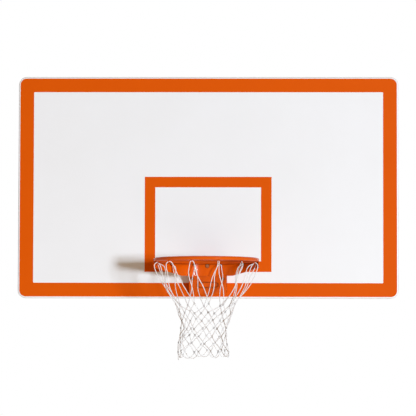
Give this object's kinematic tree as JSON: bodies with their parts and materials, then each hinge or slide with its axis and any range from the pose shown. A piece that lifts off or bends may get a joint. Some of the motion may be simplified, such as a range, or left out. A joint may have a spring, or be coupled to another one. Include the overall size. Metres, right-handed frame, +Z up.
{
  "type": "basketball backboard",
  "caption": "Rectangular steel basketball backboard with an orange border and target, a breakaway rim on a sprung bracket and a knotted white net.",
  "frame": {"origin": "centre of the four rear mounting holes, on the plane that meets the wall bracket", "axes": "+Z up, the board faces -Y, +X to the right of someone who faces the board, metres"},
  "size_m": [1.8288, 0.6716, 1.3454],
  "materials": {
    "white_enamel": "smooth satin-gloss white enamel on steel",
    "orange_marking": "smooth orange screen-printed enamel",
    "orange_powder_coat": "glossy orange powder coat with a fine ripple",
    "zinc_plated": "bright zinc plating, slightly dulled",
    "spring_steel": "dark oil-tempered wire",
    "black_rubber": "matt black rubber",
    "nylon": "natural nylon",
    "net_cord": "white twisted nylon cord"
  },
  "bodies": {
    "backboard": {"face_panel": "white_enamel", "left_upright": "white_enamel", "right_upright": "white_enamel", "upper_cross_channel": "white_enamel", "lower_cross_channel": "white_enamel", "goal_backing_plate": "white_enamel", "border_marking": "orange_marking", "target_marking": "orange_marking", "bracket_back_plate": "orange_powder_coat", "left_cheek": "orange_powder_coat", "right_cheek": "orange_powder_coat", "front_cover": "orange_powder_coat", "spring_shelf": "orange_powder_coat", "cover_screws": "zinc_plated", "cover_nuts": "zinc_plated", "goal_bolts": "zinc_plated", "goal_washers": "zinc_plated", "goal_nuts": "zinc_plated", "pivot_pin": "zinc_plated", "pivot_nut": "zinc_plated", "spring_guides": "zinc_plated", "left_spring": "spring_steel", "right_spring": "spring_steel", "stop_pad": "black_rubber"},
    "rim": {"left_arm": "orange_powder_coat", "right_arm": "orange_powder_coat", "carrier_top_plate": "orange_powder_coat", "front_web": "orange_powder_coat", "spring_plate": "orange_powder_coat", "left_bush": "nylon", "right_bush": "nylon", "rim_ring": "orange_powder_coat", "rim_brace": "orange_powder_coat", "brace_bolt": "zinc_plated", "brace_nut": "zinc_plated", "net_hooks": "orange_powder_coat"},
    "net": {"net": "net_cord"}
  },
  "joints": [
    {"name": "rim_tilt", "type": "hinge", "parent": "backboard", "child": "rim", "pos_m": [0, -0.0683, -0.38485], "axis": [1, 0, 0], "range_deg": [0, 25], "stiffness_Nm_per_rad": 250, "springref_deg": -45.84, "deforming": ["left_spring", "right_spring"]},
    {"name": "net_swing", "type": "hinge", "parent": "rim", "child": "net", "pos_m": [0, -0.425, -0.38285], "axis": [-1, 0, 0], "range_deg": [-25, 25], "deforming": ["net"]}
  ]
}
